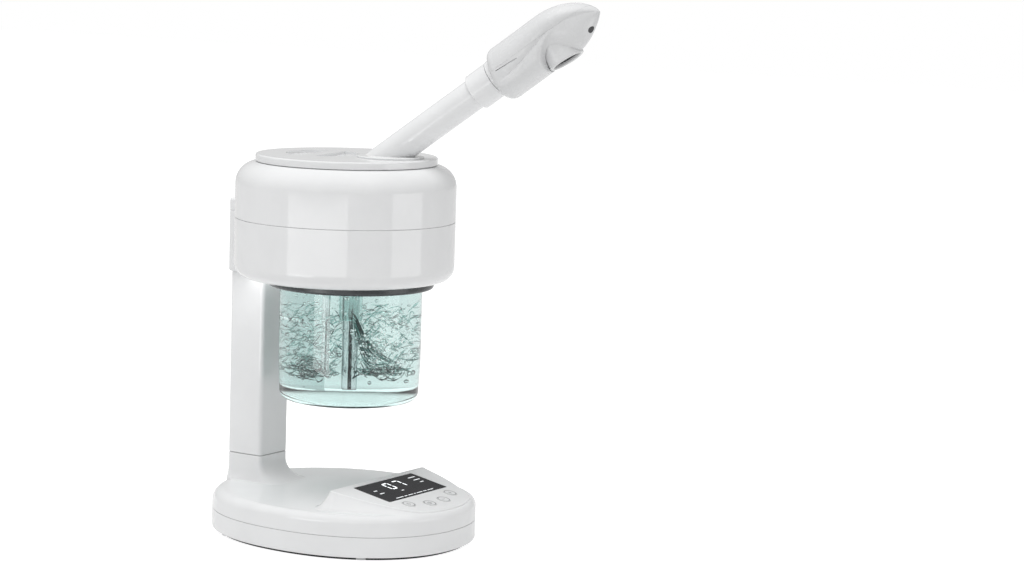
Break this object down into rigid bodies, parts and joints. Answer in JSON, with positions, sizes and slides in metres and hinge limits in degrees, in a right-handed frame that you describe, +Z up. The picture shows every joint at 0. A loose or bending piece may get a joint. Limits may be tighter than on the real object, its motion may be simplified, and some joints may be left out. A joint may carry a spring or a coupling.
{
  "type": "facial steamer",
  "caption": "Desktop facial steamer: oval base with sloping key panel, rear column, round boiler head with hanging glass jar, and a turning lid with an arm and roll nozzle.",
  "frame": {"origin": "on the surface that the base pad stands on, under the axis of the round boiler head and its turning lid", "axes": "+Z up, -Y towards the user and the key panel, +X to the user's right as they face the panel from -Y"},
  "size_m": [0.1562, 0.2659, 0.3701],
  "materials": {
    "white_shell": "high-gloss moulded white ABS",
    "key_cap": "gloss white cap with a fine grey icon",
    "soft_foot": "light grey soft foot",
    "pad_black": "black non-slip foam rubber",
    "screw_steel": "zinc plated steel",
    "display_black": "polished black acrylic window",
    "module_black": "black moulded component",
    "board_green": "green solder mask",
    "gland_rubber": "dark grey bushing",
    "wire_jacket": "bundled lead insulation",
    "inner_plastic": "heat-proof natural white",
    "polished_steel": "polished stainless tube",
    "sleeve_silicone": "translucent pale sleeve",
    "seal_silicone": "soft silicone",
    "jar_glass": "clear borosilicate glass",
    "collar_dark": "satin dark grey moulding"
  },
  "bodies": {
    "stand": {"base_bottom": "white_shell", "base_top": "white_shell", "foot_pad": "pad_black", "feet": "soft_foot", "base_screws": "screw_steel", "display_lens": "display_black", "display_module": "module_black", "control_board": "board_green", "key_switches": "module_black", "power_board": "board_green", "cable_gland": "gland_rubber", "column": "white_shell", "column_screws": "screw_steel", "wire_loom": "wire_jacket", "head_lower": "white_shell", "head_upper": "white_shell", "head_screws": "screw_steel", "jar_socket": "inner_plastic", "boiler_cap": "inner_plastic", "heater_rod": "polished_steel", "heater_sleeve": "sleeve_silicone", "level_probe": "polished_steel", "thermal_cutout": "module_black", "steam_duct": "inner_plastic"},
    "turntable": {"lid_disc": "white_shell", "lid_duct": "inner_plastic", "lid_clip": "inner_plastic", "clip_screws": "screw_steel", "duct_seal": "seal_silicone", "arm_collar": "white_shell", "arm_tube": "white_shell", "arm_o_ring": "seal_silicone"},
    "nozzle": {"coupling_ring": "white_shell", "nozzle_upper": "white_shell", "nozzle_lower": "white_shell", "nozzle_screws": "screw_steel", "spout_ring": "white_shell"},
    "gasket": {"jar_gasket": "seal_silicone"},
    "jar": {"jar_glass": "jar_glass", "jar_collar": "collar_dark"},
    "key_1": {"key_1": "key_cap"},
    "key_2": {"key_2": "key_cap"},
    "key_3": {"key_3": "key_cap"},
    "key_4": {"key_4": "key_cap"}
  },
  "joints": [
    {"name": "arm_swivel", "type": "hinge", "parent": "stand", "child": "turntable", "pos_m": [0, 0, 0.2561], "axis": [0, 0, 1], "continuous": true},
    {"name": "nozzle_roll", "type": "hinge", "parent": "turntable", "child": "nozzle", "pos_m": [0.02044, -0.09618, 0.31166], "axis": [0.1671, -0.7863, 0.5948], "continuous": true},
    {"name": "jar_drop", "type": "slide", "parent": "stand", "child": "gasket", "axis": [0, 0, -1], "range_m": [0, 0.048]},
    {"name": "jar_twist", "type": "hinge", "parent": "gasket", "child": "jar", "pos_m": [0, -0.0062, 0.18], "axis": [0, 0, -1], "range_deg": [0, 60]},
    {"name": "key_1_press", "type": "slide", "parent": "stand", "child": "key_1", "axis": [0, 0.1788, -0.9839], "range_m": [0, 0.0008], "stiffness_N_per_m": 1000},
    {"name": "key_2_press", "type": "slide", "parent": "stand", "child": "key_2", "axis": [0, 0.1788, -0.9839], "range_m": [0, 0.0008], "stiffness_N_per_m": 1000},
    {"name": "key_3_press", "type": "slide", "parent": "stand", "child": "key_3", "axis": [0, 0.1788, -0.9839], "range_m": [0, 0.0008], "stiffness_N_per_m": 1000},
    {"name": "key_4_press", "type": "slide", "parent": "stand", "child": "key_4", "axis": [0, 0.1788, -0.9839], "range_m": [0, 0.0008], "stiffness_N_per_m": 1000}
  ]
}
